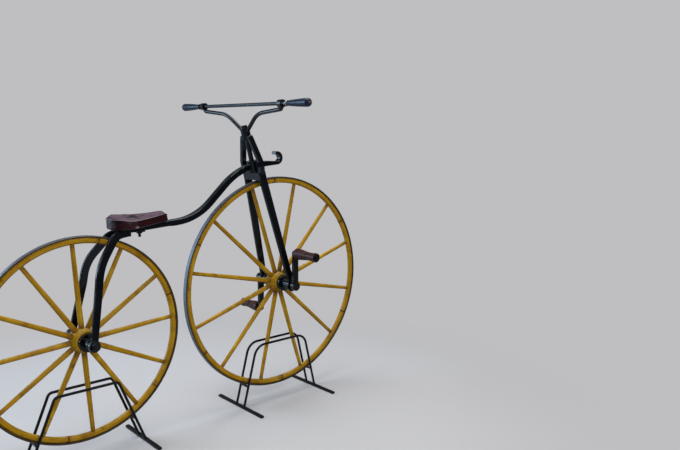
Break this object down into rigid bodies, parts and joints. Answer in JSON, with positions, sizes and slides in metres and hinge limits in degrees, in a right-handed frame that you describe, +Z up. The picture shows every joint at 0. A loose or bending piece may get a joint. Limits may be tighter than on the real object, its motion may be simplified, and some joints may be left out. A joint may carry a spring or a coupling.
{
  "type": "boneshaker velocipede",
  "caption": "Front-pedalled wooden-wheeled velocipede with iron backbone and leather saddle, held off the floor by two bent-rod display stands.",
  "frame": {"origin": "on the floor, below the middle of the machine's length and on its middle plane", "axes": "+X forward, +Y to the rider's left, +Z up"},
  "size_m": [1.685, 0.8688, 1.2823],
  "materials": {
    "black_iron": "old gloss black paint over forged iron",
    "bright_iron": "darkened turned iron",
    "stand_iron": "satin black rod",
    "bronze": "turned bronze",
    "tyre_iron": "worn, browned iron",
    "ochre_wood": "worn ochre paint on ash",
    "black_wood": "polished black turned wood",
    "brown_wood": "dark brown turned wood",
    "saddle_leather": "old polished oxblood leather"
  },
  "bodies": {
    "frame": {"backbone": "black_iron", "rear_arm_right": "black_iron", "rear_arm_left": "black_iron", "saddle": "saddle_leather", "saddle_plate": "black_iron", "saddle_clamp": "black_iron", "saddle_bolt": "bright_iron", "rear_axle": "bright_iron", "rear_axle_nuts": "bright_iron", "rear_stand_hoop_right": "stand_iron", "rear_stand_hoop_left": "stand_iron", "rear_stand_feet": "stand_iron", "rear_stand_cradle": "stand_iron"},
    "steering": {"steering_head": "black_iron", "steering_pin": "bright_iron", "head_nut": "bright_iron", "fork_blade_right": "black_iron", "fork_blade_left": "black_iron", "fork_bushes": "bronze", "handlebar": "black_iron", "twist_bar": "bright_iron", "grip_ferrules": "black_iron", "grip_right": "black_wood", "grip_left": "black_wood", "front_stand_hoop_right": "stand_iron", "front_stand_hoop_left": "stand_iron", "front_stand_feet": "stand_iron", "front_stand_cradle": "stand_iron"},
    "front_wheel": {"front_tyre": "tyre_iron", "front_felloes": "ochre_wood", "front_spokes": "ochre_wood", "front_nave": "ochre_wood", "front_nave_bands": "black_iron", "front_axle": "bright_iron", "crank_right": "black_iron", "crank_left": "black_iron", "pedal_pin_right": "bright_iron", "pedal_pin_left": "bright_iron"},
    "rear_wheel": {"rear_tyre": "tyre_iron", "rear_felloes": "ochre_wood", "rear_spokes": "ochre_wood", "rear_nave": "ochre_wood", "rear_nave_bands": "black_iron"},
    "pedal_right": {"pedal_right": "brown_wood"},
    "pedal_left": {"pedal_left": "brown_wood"}
  },
  "joints": [
    {"name": "steering", "type": "hinge", "parent": "frame", "child": "steering", "pos_m": [0.3855, 0, 0.517], "axis": [-0.2504, 0, 0.9681], "range_deg": [-40, 40]},
    {"name": "front_wheel_spin", "type": "hinge", "parent": "steering", "child": "front_wheel", "pos_m": [0.3855, 0, 0.517], "axis": [0, 1, 0], "continuous": true},
    {"name": "rear_wheel_spin", "type": "hinge", "parent": "frame", "child": "rear_wheel", "pos_m": [-0.4745, 0, 0.428], "axis": [0, 1, 0], "continuous": true},
    {"name": "pedal_right_spin", "type": "hinge", "parent": "front_wheel", "child": "pedal_right", "pos_m": [0.3855, -0.1935, 0.657], "axis": [0, 1, 0], "continuous": true},
    {"name": "pedal_left_spin", "type": "hinge", "parent": "front_wheel", "child": "pedal_left", "pos_m": [0.3855, 0.1935, 0.377], "axis": [0, 1, 0], "continuous": true}
  ]
}
